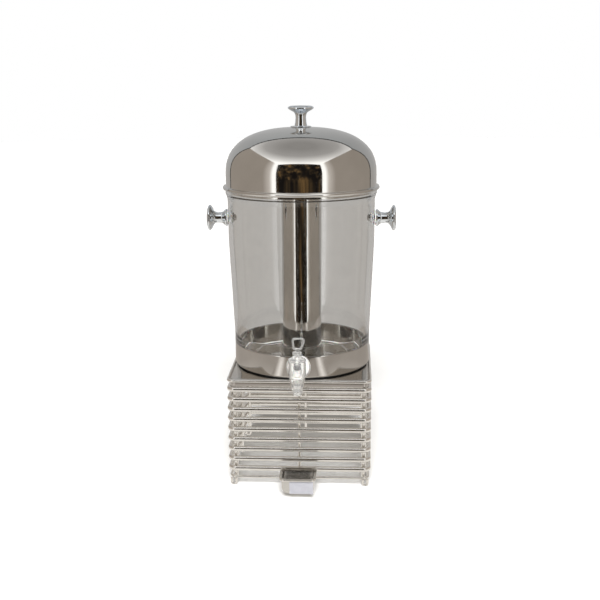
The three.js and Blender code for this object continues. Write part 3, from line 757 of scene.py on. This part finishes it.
def add_tank_shell():
    """The clear shell: a foot inside the pan, a long cone, a straight top and a flared lip."""
    low, high = span("tank_shell")
    lip = (high.x - low.x) / 2
    wall, foot, cone_foot, cone_top = 3, 102.3, 104, 110.5
    shoulder = span("base_pan")[1].z + 0.3
    cone_start = shoulder + 13.7
    knee = shoulder + 0.66 * (high.z - shoulder)
    outline = [
        (foot, low.z, 0.8),
        (foot, shoulder, 0.4),
        (cone_foot, shoulder, 0.4),
        (cone_foot, cone_start, 40),
        (cone_top, knee, 120),
        (lip - 3, high.z - 14, 6),
        (lip - 1.5, high.z - 9.1, 3),
        (lip, high.z - 4.9, 2),
        (lip, high.z, 1.2),
        (lip - 4.5, high.z, 1.2),
        (lip - 4.5, high.z - 7, 3),
        (lip - 6, high.z - 14, 6),
        (cone_top - wall, knee, 120),
        (cone_foot - wall, cone_start, 40),
        (foot - wall, shoulder, 1),
        (foot - wall, low.z, 0.8),
    ]
    shell = turned(rounded(outline, closed=True), FINE, closed=True)
    across, reach = Matrix.Translation((0, 0, middle("side_knob_left").z)) @ TO_RIGHT, 150
    bolt_drill = moved(rod(SCREW_HOLE, -reach, reach, 0, SMALL), across)
    shell = combined(shell, [bolt_drill, tap_drill()], "DIFFERENCE")
    piece("tank_shell_wall", shell, LOOKS["clear_tank"], "tank", "clear_tank", ["tank_shell"], on_axis())


def add_ice_tube():
    low, high = span("ice_tube_socket")
    outer = (high.x - low.x) / 2
    socket_wall = 2.6
    socket = ring(outer - socket_wall, outer, low.z, high.z, 0.6)
    look = LOOKS["clear_tank"]
    piece("ice_tube_socket_ring", socket, look, "tank", "clear_tank", ["ice_tube_socket"], on_axis())

    low, high = span("ice_tube")
    bead, bead_height, sheet, radius = 1.6, 3.4, 1.0, 30.0
    outline = [
        (0, low.z, 0),
        (radius, low.z, 3.5),
        (radius, high.z - bead_height, 0.5),
        (radius + bead, high.z - bead_height, 1.3),
        (radius + bead, high.z, 1.5),
        (radius - sheet, high.z, 0.8),
        (radius - sheet, low.z + sheet, 2.6),
        (0, low.z + sheet, 0),
    ]
    tube = turned(rounded(outline), FINE)
    look = LOOKS["polished_steel"]
    piece("ice_tube_sheet", tube, look, "ice_tube", "polished_steel", ["ice_tube"], on_axis())


# ---------------------------------------------------------------- the lid and the knobs


def dome_curve(radius, foot, rise, flatness=2.5, steps=64):
    """Points (radius, height, 0) up the dome, a little squarer than an ellipse."""
    points = []
    power = 2 / flatness
    for step in range(steps):
        angle = math.pi / 2 * step / steps
        points.append((radius * math.cos(angle) ** power, foot + rise * math.sin(angle) ** power, 0))
    return points


def add_lid():
    """One sheet: the step that drops into the tank, a rolled bead, a wall and the dome."""
    low, high = span("lid_shell")
    bead_radius = (high.x - low.x) / 2
    wall, sheet, hole = bead_radius - 4.8, 1.2, SCREW_HOLE
    step_radius, rest = 108.3, low.z + 4
    bead_height = rest + 3.1
    dome_foot, crown = rest + 20.8, high.z
    outline = [
        (step_radius - sheet, low.z, 0.4),
        (step_radius, low.z, 0.4),
        (step_radius, rest, 0.8),
        (wall, rest, 0.4),
        (bead_radius - 1, rest + 0.4, 1.0),
        (bead_radius, bead_height - 0.6, 1.6),
        (bead_radius - 1, bead_height + 1.6, 1.2),
        (wall, bead_height + 2.4, 0.8),
    ]
    outline += dome_curve(wall, dome_foot, crown - dome_foot)
    outline += [(hole, crown, 0), (hole, crown - sheet, 0)]
    outline += dome_curve(wall - sheet, dome_foot, crown - sheet - dome_foot)[::-1]
    outline += [(wall - sheet, rest + sheet, 0.8), (step_radius - sheet, rest + sheet, 0.8)]
    lid = turned(rounded(outline, closed=True), FINE, closed=True)
    look = LOOKS["polished_steel"]
    piece("lid_sheet", lid, look, "lid", "polished_steel", ["lid_shell"], on_axis(), 50)


def knob_outline(height, root, root_height, disc=19.2):
    """A spool: a flared root, a waisted neck and a domed disc, with a screw hole in the root."""
    disc_thickness, hole_depth = 7, 15
    under = height - disc_thickness
    return rounded(
        [
            (0, hole_depth, 0),
            (SCREW_HOLE, hole_depth, 0),
            (SCREW_HOLE, 0, 0.3),
            (root, 0, 0.5),
            (root, root_height * 0.3, 0.8),
            (8.4, root_height + 1, 5),
            (7.7, (root_height + under) / 2, 14),
            (9.2, under - 3.5, 6),
            (disc - 3.2, under + 0.2, 3),
            (disc, under + 2.4, 1.2),
            (disc, height - 2.6, 1.4),
            (disc - 3.4, height - 0.7, 5),
            (0, height, 0),
        ],
        steps=10,
    )


def screw_outline(head_radius, head_height, length):
    """A pan-head screw pointing up from z 0, with a shallow round drive."""
    drive, drive_depth = head_radius * 0.4, 0.9
    return rounded(
        [
            (0, -head_height + drive_depth, 0),
            (drive, -head_height + drive_depth, 0.2),
            (drive, -head_height, 0.2),
            (head_radius * 0.75, -head_height, 1.0),
            (head_radius, -head_height * 0.45, 0.6),
            (head_radius, 0, 0.2),
            (2.4, 0, 0.2),
            (2.4, length - 0.6, 0.2),
            (1.8, length, 0.2),
            (0, length, 0),
        ]
    )


def add_lid_knob():
    low, high = span("lid_knob_washer")
    washer = ring(SCREW_HOLE, (high.x - low.x) / 2, low.z, high.z, 0.5)
    chrome = LOOKS["knob_chrome"]
    piece("lid_knob_plate", washer, chrome, "lid", "knob_chrome", ["lid_knob_washer"], on_axis())
    low, high = span("lid_knob")
    grip = turned(knob_outline(high.z - low.z, 9.2, 4), MEDIUM)
    piece("lid_knob_grip", grip, chrome, "lid", "knob_chrome", ["lid_knob"], on_axis(low.z))
    low, high = span("lid_inner_washer")
    plain = LOOKS["fastener_steel"]
    washer = ring(SCREW_HOLE, (high.x - low.x) / 2, low.z, high.z, 0.3, SMALL)
    piece("lid_inner_washer_ring", washer, plain, "lid", "fastener_steel", ["lid_inner_washer"], on_axis())
    low, high = span("lid_knob_screw")
    head = 3.2
    screw = turned(screw_outline(4.6, head, high.z - low.z - head), SMALL)
    at = on_axis(low.z + head)
    piece("lid_knob_screw_steel", screw, plain, "lid", "fastener_steel", ["lid_knob_screw"], at)


def add_side_knob(side, turn):
    """A knob, its gaskets, washer and bolt, each with its own axis pointing out of the tank."""
    sign = 1 if side == "right" else -1

    def place(node):
        """On the knob's axis, at the node's face nearer the tank's middle."""
        low, high = span(node)
        near = low.x if sign > 0 else high.x
        return Matrix.Translation((near, AXIS.y, middle(node).z)) @ turn

    def add(node, name, shape, look):
        piece(name, shape, LOOKS[look], "tank", look, [node], place(node))

    node = f"side_knob_{side}"
    add(node, f"{node}_grip", turned(knob_outline(size(node).x, 13, 6), MEDIUM), "knob_chrome")
    for kind, edge, look in [
        ("outer_gasket", 0.4, "white_silicone"),
        ("inner_gasket", 0.4, "white_silicone"),
        ("washer", 0.3, "fastener_steel"),
    ]:
        node = f"side_knob_{kind}_{side}"
        extent = size(node)
        add(node, f"{node}_ring", ring(SCREW_HOLE, extent.z / 2, 0, extent.x, edge, SMALL), look)
    node = f"side_knob_bolt_{side}"
    head = 3.4
    bolt = turned(screw_outline(5, head, size(node).x - head), SMALL)
    add(node, f"{node}_steel", moved(bolt, Matrix.Translation((0, 0, head))), "fastener_steel")


# ---------------------------------------------------------------- the tap


def add_tap_body():
    """Barrel, spout, shank and flange in one clear moulding, bored right through."""
    low, high = span("tap_body")
    top, tip = high.z, low.z
    taper_foot, floor = top - 20, top - 25.8
    spout, barrel_radius, wall, lip = 6.2, 12.75, 2.2, 0.35
    barrel = turned(
        rounded(
            [
                (0, tip, 0),
                (spout, tip, 0.7),
                (barrel_radius, taper_foot, 16),
                (barrel_radius, top - 3.4, 0),
                (barrel_radius + lip, top - 3.0, 0.3),
                (barrel_radius + lip, top, 0.6),
                (0, top, 0),
            ]
        )
    )
    cavity = turned(
        rounded(
            [
                (0, tip - 1, 0),
                (4.4, tip - 1, 0),
                (4.4, floor - 1.5, 0.8),
                (5.9, floor, 0.6),
                (barrel_radius - wall - 2, floor, 1),
                (barrel_radius - wall, floor + 8, 4),
                (barrel_radius - wall, top + 1, 0),
                (0, top + 1, 0),
            ]
        )
    )
    front = TAP_AXIS.y
    length = high.y - front
    flange_back = span("tap_outer_gasket")[0].y - 0.3 - front
    to_shank = Matrix.Translation((0, 0, TAP_HEIGHT)) @ TO_BACK
    shank = moved(rod(SHANK, 0, length, 0.5, 64), to_shank)
    flange = moved(rod(18, flange_back - 3.5, flange_back, 1.1), to_shank)
    half_facet = Matrix.Rotation(math.pi / SMALL, 4, "Z")  # keeps its corners off the cavity's
    bore = moved(rod(4.2, -2, length + 1, 0, SMALL), to_shank @ half_facet)
    body = combined(barrel, [shank, flange], "UNION")
    body = combined(body, [cavity, bore], "DIFFERENCE")
    piece("tap_body_moulding", body, LOOKS["clear_tap"], "tank", "clear_tap", ["tap_body"], on_tap())


def add_tap_fasteners():
    """The gaskets on both sides of the tank's wall, and a chamfered hexagon nut."""
    silicone = LOOKS["white_silicone"]
    for node in ("tap_outer_gasket", "tap_inner_gasket"):
        low, high = span(node)
        gasket = ring(SHANK + FIT, (high.x - low.x) / 2, 0, high.y - low.y, 0.4)
        at = Matrix.Translation((TAP_AXIS.x, low.y, TAP_HEIGHT)) @ TO_BACK
        piece(f"{node}_ring", gasket, silicone, "tank", "white_silicone", [node], at)
    low, high = span("tap_nut")
    depth = high.y - low.y
    corner = Vector(((high.z - low.z) / 2, 0, 0))
    corners = [Matrix.Rotation(math.radians(60 * i + 30), 3, "Z") @ corner for i in range(6)]
    blank = lofted([[c + Vector((0, 0, z)) for c in corners] for z in (0, depth)])
    past, tip, widest, slant = 1.0, 11.1, 14.2, 1.6
    chamfer = turned(
        [
            (0, -past),
            (tip, -past),
            (widest, slant),
            (widest, depth - slant),
            (tip, depth + past),
            (0, depth + past),
        ]
    )
    nut = combined(blank, [chamfer], "INTERSECT")
    nut = combined(nut, [rod(SHANK + FIT, -past, depth + past, 0, 64)], "DIFFERENCE")
    at = Matrix.Translation((TAP_AXIS.x, low.y, TAP_HEIGHT)) @ TO_BACK
    piece("tap_nut_hexagon", nut, LOOKS["white_plastic"], "tank", "white_plastic", ["tap_nut"], at)


def pin_drill(pivot):
    """A drill for the lever's pin, right across the bonnet."""
    return moved(rod(1.25, -15, 15, 0, SMALL), Matrix.Translation((0, 0, pivot)) @ TO_RIGHT)


def add_bonnet():
    """The cap that closes the barrel, its neck slotted for the lever."""
    low, high = span("tap_bonnet")
    cap = turned(
        rounded(
            [
                (0, low.z, 0),
                (10.3, low.z, 0.3),
                (10.3, low.z + 1.5, 0.1),
                (12.75, low.z + 1.5, 0.4),
                (12.75, low.z + 4.0, 0.9),
                (7.4, low.z + 5.2, 1.2),
                (6.6, low.z + 7.5, 3),
                (6.6, high.z, 1.1),
                (0, high.z, 0),
            ]
        )
    )
    pivot = middle("lever_pin").z
    slot = bmesh.new()
    bmesh.ops.create_cube(slot, size=1)
    width, reach, bottom = 4.5, 30, pivot - 4
    bmesh.ops.scale(slot, vec=(width, reach, reach), verts=slot.verts)
    moved(slot, Matrix.Translation((0, 0, bottom + reach / 2)))
    stem_hole = rod(2.25, low.z - 2, bottom + 1, 0, SMALL)
    cap = combined(cap, [slot, stem_hole, pin_drill(pivot)], "DIFFERENCE")
    piece("tap_bonnet_moulding", cap, LOOKS["clear_tap"], "tank", "clear_tap", ["tap_bonnet"], on_tap())
    extent = size("lever_pin")
    pin = rod(1, -extent.x / 2, extent.x / 2, 0.2, SMALL)
    at = on_tap(pivot) @ TO_RIGHT
    piece("lever_pin_steel", pin, LOOKS["fastener_steel"], "tank", "fastener_steel", ["lever_pin"], at)


def add_lever():
    """An open loop that leans a little to one side, on a hub that turns on the pin."""
    pivot = middle("lever_pin").z
    strand, lean, head, foot, raised = 1.45, 2.5, 9.05, 5.05, 5.2
    bottom, top = pivot + raised + strand, span("tap_lever")[1].z - strand
    corners = [
        (-foot, bottom, 2.6),
        (foot, bottom, 2.6),
        (head + lean, top, 3.4),
        (-head + lean, top, 3.4),
    ]
    path = [Vector((x, 0, z)) for x, z in rounded(corners, closed=True, steps=10)]
    loop = swept(path, strand, closed=True)
    hub = moved(rod(3, -2, 2, 0.4, SMALL), Matrix.Translation((0, 0, pivot)) @ TO_RIGHT)
    neck_rings = []
    steps, half_neck, flare, flare_from = 8, 2.0, 1.3, 0.6
    for step in range(steps + 1):
        share = step / steps
        half_x = half_neck + flare * max(0, (share - flare_from) / (1 - flare_from)) ** 2
        height = pivot + (bottom + 0.6 - pivot) * share
        neck_rings.append(rounded_rectangle(half_x, 1.45, 0.6, height, steps=4))
    lever = combined(loop, [lofted(neck_rings), hub], "UNION")
    lever = combined(lever, [pin_drill(pivot)], "DIFFERENCE")
    look = LOOKS["clear_tap"]
    piece("tap_lever_moulding", lever, look, "tap_lever", "clear_tap", ["tap_lever"], on_tap())


def add_stem():
    """The stem, the black seal at its foot and the ribbed seat round it."""
    low, high = span("tap_stem")
    stem = rod(2, low.z, high.z, 0.5, SMALL)
    plastic = LOOKS["white_plastic"]
    piece("tap_stem_rod", stem, plastic, "tap_stem", "white_plastic", ["tap_stem"], on_tap())
    low, high = span("stem_seal")
    seal = ring(2.25, (high.x - low.x) / 2, low.z, high.z, 0.7)
    rubber = LOOKS["black_rubber"]
    piece("stem_seal_plug", seal, rubber, "tap_stem", "black_rubber", ["stem_seal"], on_tap())
    low, high = span("tap_seat")
    ribs, wide, waist = 4, 5.2, 3.6
    pitch = (high.z - low.z) / (ribs + 0.45)
    outline = [(2.25, low.z, 0.2), (wide + 1.4, low.z, 0.5), (wide + 1.4, low.z + pitch * 0.5, 0.5)]
    for i in range(1, ribs + 1):
        foot = low.z + i * pitch
        outline += [(waist, foot - pitch * 0.4, 0.4), (waist, foot - pitch * 0.1, 0.4)]
        outline += [(wide, foot, 0.45), (wide, foot + pitch * 0.42, 0.45)]
    outline.append((2.25, high.z, 0.2))
    seat = turned(rounded(outline, closed=True), MEDIUM, closed=True)
    silicone = LOOKS["white_silicone"]
    piece("tap_seat_bellows", seat, silicone, "tap_stem", "white_silicone", ["tap_seat"], on_tap())


# ---------------------------------------------------------------- floor, studio and camera


def glow(name, stops, along=None, around=None, scale=1.5):
    """A card's light: soft patches, or a change of colour along an axis or away from a spot."""
    look = bpy.data.materials.new(name)
    look.use_nodes = True
    tree = look.node_tree
    tree.nodes.clear()
    place = add_node(tree, "TexCoord").outputs["Generated"]
    parts = add_node(tree, "SeparateXYZ", Vector=place)
    if along:
        factor = parts.outputs[along]
    elif around:
        flat = add_node(tree, "CombineXYZ", X=parts.outputs["X"], Y=parts.outputs["Y"])
        away = add_node(tree, "VectorMath", {"operation": "DISTANCE"})
        tree.links.new(flat.outputs["Vector"], away.inputs[0])
        away.inputs[1].default_value = around
        factor = away.outputs["Value"]
    else:
        factor = cloud(tree, place, scale, 2)
    light = add_node(tree, "Emission", Color=ramp(tree, factor, stops), Strength=1.0)
    output = add_node(tree, "OutputMaterial")
    tree.links.new(light.outputs["Emission"], output.inputs["Surface"])
    return look


def staged(name, points, look):
    """A flat face of the studio. It isn't part of the object."""
    mesh = bpy.data.meshes.new(name)
    mesh.from_pydata(points, [], [range(len(points))])
    mesh.materials.append(look)
    made = bpy.data.objects.new(name, mesh)
    bpy.context.scene.collection.objects.link(made)
    return made


def card(name, points, look):
    """A face that only reflections and clear plastic see."""
    made = staged(name, points, look)
    made.visible_camera = False
    made.visible_diffuse = False
    made.visible_shadow = False


def upright(x0, y0, x1, y1, bottom, top):
    return [(x0, y0, bottom), (x1, y1, bottom), (x1, y1, top), (x0, y0, top)]


def level(x0, x1, y0, y1, height):
    return [(x0, y0, height), (x1, y0, height), (x1, y1, height), (x0, y1, height)]


def add_studio():
    """A light tent on a table: bright ceiling, grey sides and back, a dark opening in front. Each face is a
    glowing card that only reflections see: the table is painted light, glowing brighter round its middle,
    and two strips on it are painted sheen.
    """
    half, wide, front, back, top, pit = 0.80, 1.6, -1.2, 0.62, 1.27, -0.9
    black, brown, bright = (0.01, 0.01, 0.01), (0.40, 0.355, 0.31), (1.6, 1.6, 1.58)
    side = [
        (0.0, bright),
        (0.11, bright),
        (0.19, (0.75, 0.70, 0.65)),
        (0.34, brown),
        (0.970, brown),
        (0.973, black),
    ]
    side_glow = glow("tent_side", side, along="Y")
    card("tent_left", upright(-half, front, -half, back, pit, top), side_glow)
    card("tent_right", upright(half, front, half, back, pit, top), side_glow)

    ceiling = [
        (0.1, (0.36, 0.35, 0.34)),
        (0.32, (0.50, 0.49, 0.48)),
        (0.5, (0.95, 0.94, 0.93)),
        (0.7, bright),
    ]
    ceiling_glow = glow("tent_ceiling", ceiling, around=(0.5, 0.7, 0))
    card("tent_ceiling", level(-half, half, front, back, top), ceiling_glow)
    seam_width, below = 0.06, 0.002
    seam = level(-half, half, back - seam_width, back, top - below)
    card("tent_seam", seam, glow("tent_seam", [(0, black), (1, black)]))

    room = [(0.45, (0.012, 0.010, 0.009)), (0.58, (0.05, 0.035, 0.02)), (0.7, (0.20, 0.12, 0.05))]
    opening = upright(-half, front, half, front, pit, top)
    card("room_behind_camera", opening, glow("room", room, scale=9))

    rear = [
        (0.40, (0.485, 0.465, 0.445)),
        (0.47, (0.50, 0.50, 0.50)),
        (0.75, (0.42, 0.44, 0.455)),
        (1.0, (0.42, 0.45, 0.48)),
    ]
    behind, above = back + 0.001, top + 0.9
    wall = upright(-wide, behind, wide, behind, pit, above)
    card("tent_back", wall, glow("tent_back", rear, along="Z"))

    # Painted light for reflections: the table card glows brighter round its middle, and each sheen strip is
    # a painted sheen, brightest along its middle.
    table_front, table_height, sheen_height = -0.72, 0.0004, 0.001
    table = [
        (0.1, (0.85, 0.82, 0.77)),
        (0.3, (0.80, 0.76, 0.71)),
        (0.45, (0.44, 0.40, 0.36)),
        (0.7, (0.40, 0.36, 0.32)),
    ]
    table_glow = glow("table", table, around=(0.5, 0.5, 0))
    card("table", level(-half, half, table_front, back, table_height), table_glow)
    edge, reach, far = (0.42, 0.38, 0.34), 0.09, -0.38
    sheen = [(0.1, edge), (0.5, (1.25, 1.2, 1.15)), (0.9, edge)]
    for side, x in (("left", -0.37), ("right", 0.37)):
        strip = level(x - reach, x + reach, table_front, far, sheen_height)
        card(f"table_sheen_{side}", strip, glow(f"table_sheen_{side}", sheen, along="X"))


def add_floor():
    """A pale floor under a white backdrop all round."""
    reach = 8
    look = surface(
        "floor",
        soft_skin((0.93, 0.93, 0.925), (0.96, 0.96, 0.955), 0.7, 0.85, 60, 0.02),
        Specular_IOR_Level=0.0,
    )
    floor = staged("floor", level(-reach, reach, -reach, reach, 0), look)
    floor.visible_glossy = False
    floor.visible_transmission = False

    dome = bmesh.new()
    bmesh.ops.create_icosphere(dome, subdivisions=4, radius=reach)
    mesh = bpy.data.meshes.new("backdrop")
    dome.to_mesh(mesh)
    dome.free()
    mesh.materials.append(glow("backdrop", [(0, (1, 1, 1)), (1, (1, 1, 1))]))
    backdrop = bpy.data.objects.new("backdrop", mesh)
    bpy.context.scene.collection.objects.link(backdrop)
    backdrop.visible_diffuse = False
    backdrop.visible_glossy = False
    backdrop.visible_transmission = False
    backdrop.visible_shadow = False


def add_light():
    """Soft light from all round, and a broad lamp above the camera."""
    scene = bpy.context.scene
    world = bpy.data.worlds.new("studio")
    world.use_nodes = True
    background = world.node_tree.nodes["Background"]
    background.inputs["Color"].default_value = (1, 0.94, 0.86, 1)
    background.inputs["Strength"].default_value = 0.23
    scene.world = world
    scene.view_settings.view_transform = "Standard"
    scene.cycles.max_bounces = 24
    scene.cycles.glossy_bounces = 10
    scene.cycles.transmission_bounces = 16

    lamp = bpy.data.lights.new("broad_lamp", "SUN")
    lamp.energy = 4.8
    lamp.angle = math.radians(25)
    made = bpy.data.objects.new("broad_lamp", lamp)
    made.rotation_euler = (math.radians(48), 0, math.radians(3))
    made.visible_glossy = False
    made.visible_transmission = False
    scene.collection.objects.link(made)


def add_camera():
    """A little above the lid and to its right, looking down on the stand."""
    data = bpy.data.cameras.new("camera")
    data.sensor_width = 36
    data.lens = 58.69
    data.shift_x = -0.0033
    camera = bpy.data.objects.new("camera", data)
    bpy.context.scene.collection.objects.link(camera)
    azimuth = Matrix.Rotation(math.radians(3.09), 4, "Z")
    tilt = Matrix.Rotation(math.radians(76.92), 4, "X")
    roll = Matrix.Rotation(math.radians(-0.37), 4, "Z")
    camera.matrix_world = Matrix.Translation((0.0795, -1.45215, 0.6049)) @ azimuth @ tilt @ roll
    bpy.context.scene.camera = camera


add_stand()
add_drip_tray()
add_tray_label()
finish_grille()
add_base()
add_tank_shell()
add_ice_tube()
add_lid()
add_lid_knob()
add_side_knob("left", TO_LEFT)
add_side_knob("right", TO_RIGHT)
add_tap_body()
add_tap_fasteners()
add_bonnet()
add_lever()
add_stem()
add_studio()
add_floor()
add_light()
add_camera()
